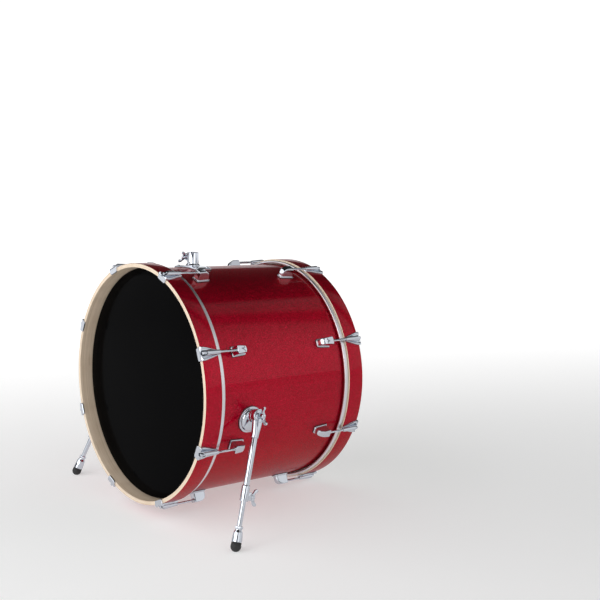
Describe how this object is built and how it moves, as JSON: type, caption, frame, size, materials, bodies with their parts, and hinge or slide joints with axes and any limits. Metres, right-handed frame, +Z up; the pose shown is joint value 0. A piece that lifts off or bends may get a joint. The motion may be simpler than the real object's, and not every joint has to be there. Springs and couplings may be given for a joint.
{
  "type": "bass drum",
  "caption": "Bass drum standing on two folding spurs, with a lacquered shell, wooden hoops, clamped tension rods and a tom post receiver on top.",
  "frame": {"origin": "on the floor, under the middle of the whole drum's outline, spurs included", "axes": "+Z up; +Y from the front head towards the batter side, where the pedal goes; +X to the right for someone who stands in front of the drum and looks along +Y. Left and right in the names are as seen from there"},
  "size_m": [0.753, 0.5138, 0.6276],
  "materials": {
    "red_lacquer": "gloss red sparkle lacquer on wood",
    "maple": "clear satin on pale maple",
    "black_film": "gloss black drumhead film",
    "white_film": "coated white drumhead film",
    "flesh_hoop": "satin aluminium",
    "chrome": "polished chrome",
    "rubber": "matt black rubber"
  },
  "bodies": {
    "drum": {"shell": "red_lacquer", "front_hoop": "red_lacquer", "rear_hoop": "red_lacquer", "front_head": "black_film", "rear_head": "white_film", "front_lug_1": "chrome", "front_lug_2": "chrome", "front_lug_3": "chrome", "front_lug_4": "chrome", "front_lug_5": "chrome", "front_lug_6": "chrome", "front_lug_7": "chrome", "front_lug_8": "chrome", "rear_lug_1": "chrome", "rear_lug_2": "chrome", "rear_lug_3": "chrome", "rear_lug_4": "chrome", "rear_lug_5": "chrome", "rear_lug_6": "chrome", "rear_lug_7": "chrome", "rear_lug_8": "chrome", "front_claw_1": "chrome", "front_claw_2": "chrome", "front_claw_3": "chrome", "front_claw_4": "chrome", "front_claw_5": "chrome", "front_claw_6": "chrome", "front_claw_7": "chrome", "front_claw_8": "chrome", "rear_claw_1": "chrome", "rear_claw_2": "chrome", "rear_claw_3": "chrome", "rear_claw_4": "chrome", "rear_claw_5": "chrome", "rear_claw_6": "chrome", "rear_claw_7": "chrome", "rear_claw_8": "chrome", "left_spur_bracket": "chrome", "right_spur_bracket": "chrome", "tom_mount": "chrome"},
    "left_spur_leg": {"left_spur_leg": "chrome"},
    "left_spur_rod": {"left_spur_rod": "chrome"},
    "right_spur_leg": {"right_spur_leg": "chrome"},
    "right_spur_rod": {"right_spur_rod": "chrome"},
    "front_tension_rod_1": {"front_tension_rod_1": "chrome"},
    "front_tension_rod_2": {"front_tension_rod_2": "chrome"},
    "front_tension_rod_3": {"front_tension_rod_3": "chrome"},
    "front_tension_rod_4": {"front_tension_rod_4": "chrome"},
    "front_tension_rod_5": {"front_tension_rod_5": "chrome"},
    "front_tension_rod_6": {"front_tension_rod_6": "chrome"},
    "front_tension_rod_7": {"front_tension_rod_7": "chrome"},
    "front_tension_rod_8": {"front_tension_rod_8": "chrome"},
    "rear_tension_rod_1": {"rear_tension_rod_1": "chrome"},
    "rear_tension_rod_2": {"rear_tension_rod_2": "chrome"},
    "rear_tension_rod_3": {"rear_tension_rod_3": "chrome"},
    "rear_tension_rod_4": {"rear_tension_rod_4": "chrome"},
    "rear_tension_rod_5": {"rear_tension_rod_5": "chrome"},
    "rear_tension_rod_6": {"rear_tension_rod_6": "chrome"},
    "rear_tension_rod_7": {"rear_tension_rod_7": "chrome"},
    "rear_tension_rod_8": {"rear_tension_rod_8": "chrome"}
  },
  "joints": [
    {"name": "left_spur_fold", "type": "hinge", "parent": "drum", "child": "left_spur_leg", "pos_m": [-0.309, -0.10694, 0.27385], "axis": [0.9792, -0.0111, -0.2027], "range_deg": [0, 109.5]},
    {"name": "left_spur_slide", "type": "slide", "parent": "left_spur_leg", "child": "left_spur_rod", "axis": [-0.1913, -0.384, -0.9033], "range_m": [-0.045, 0.035]},
    {"name": "right_spur_fold", "type": "hinge", "parent": "drum", "child": "right_spur_leg", "pos_m": [0.309, -0.10694, 0.27385], "axis": [0.9792, 0.0111, 0.2027], "range_deg": [0, 109.5]},
    {"name": "right_spur_slide", "type": "slide", "parent": "right_spur_leg", "child": "right_spur_rod", "axis": [0.1913, -0.384, -0.9033], "range_m": [-0.045, 0.035]},
    {"name": "tension_rod_turn_front_1", "type": "hinge", "parent": "drum", "child": "front_tension_rod_1", "pos_m": [0.27624, -0.17159, 0.42854], "axis": [0, 0.9985, -0.0546], "continuous": true},
    {"name": "tension_rod_turn_front_2", "type": "hinge", "parent": "drum", "child": "front_tension_rod_2", "pos_m": [0.11442, -0.16276, 0.59011], "axis": [0, 0.9985, -0.0546], "continuous": true},
    {"name": "tension_rod_turn_front_3", "type": "hinge", "parent": "drum", "child": "front_tension_rod_3", "pos_m": [-0.11442, -0.16276, 0.59011], "axis": [0, 0.9985, -0.0546], "continuous": true},
    {"name": "tension_rod_turn_front_4", "type": "hinge", "parent": "drum", "child": "front_tension_rod_4", "pos_m": [-0.27624, -0.17159, 0.42854], "axis": [0, 0.9985, -0.0546], "continuous": true},
    {"name": "tension_rod_turn_front_5", "type": "hinge", "parent": "drum", "child": "front_tension_rod_5", "pos_m": [-0.27624, -0.18408, 0.20003], "axis": [0, 0.9985, -0.0546], "continuous": true},
    {"name": "tension_rod_turn_front_6", "type": "hinge", "parent": "drum", "child": "front_tension_rod_6", "pos_m": [-0.11442, -0.19291, 0.03846], "axis": [0, 0.9985, -0.0546], "continuous": true},
    {"name": "tension_rod_turn_front_7", "type": "hinge", "parent": "drum", "child": "front_tension_rod_7", "pos_m": [0.11442, -0.19291, 0.03846], "axis": [0, 0.9985, -0.0546], "continuous": true},
    {"name": "tension_rod_turn_front_8", "type": "hinge", "parent": "drum", "child": "front_tension_rod_8", "pos_m": [0.27624, -0.18408, 0.20003], "axis": [0, 0.9985, -0.0546], "continuous": true},
    {"name": "tension_rod_turn_rear_1", "type": "hinge", "parent": "drum", "child": "rear_tension_rod_1", "pos_m": [0.27624, 0.18408, 0.40909], "axis": [0, -0.9985, 0.0546], "continuous": true},
    {"name": "tension_rod_turn_rear_2", "type": "hinge", "parent": "drum", "child": "rear_tension_rod_2", "pos_m": [0.11442, 0.19291, 0.57067], "axis": [0, -0.9985, 0.0546], "continuous": true},
    {"name": "tension_rod_turn_rear_3", "type": "hinge", "parent": "drum", "child": "rear_tension_rod_3", "pos_m": [-0.11442, 0.19291, 0.57067], "axis": [0, -0.9985, 0.0546], "continuous": true},
    {"name": "tension_rod_turn_rear_4", "type": "hinge", "parent": "drum", "child": "rear_tension_rod_4", "pos_m": [-0.27624, 0.18408, 0.40909], "axis": [0, -0.9985, 0.0546], "continuous": true},
    {"name": "tension_rod_turn_rear_5", "type": "hinge", "parent": "drum", "child": "rear_tension_rod_5", "pos_m": [-0.27624, 0.17159, 0.18059], "axis": [0, -0.9985, 0.0546], "continuous": true},
    {"name": "tension_rod_turn_rear_6", "type": "hinge", "parent": "drum", "child": "rear_tension_rod_6", "pos_m": [-0.11442, 0.16276, 0.01901], "axis": [0, -0.9985, 0.0546], "continuous": true},
    {"name": "tension_rod_turn_rear_7", "type": "hinge", "parent": "drum", "child": "rear_tension_rod_7", "pos_m": [0.11442, 0.16276, 0.01901], "axis": [0, -0.9985, 0.0546], "continuous": true},
    {"name": "tension_rod_turn_rear_8", "type": "hinge", "parent": "drum", "child": "rear_tension_rod_8", "pos_m": [0.27624, 0.17159, 0.18059], "axis": [0, -0.9985, 0.0546], "continuous": true}
  ]
}
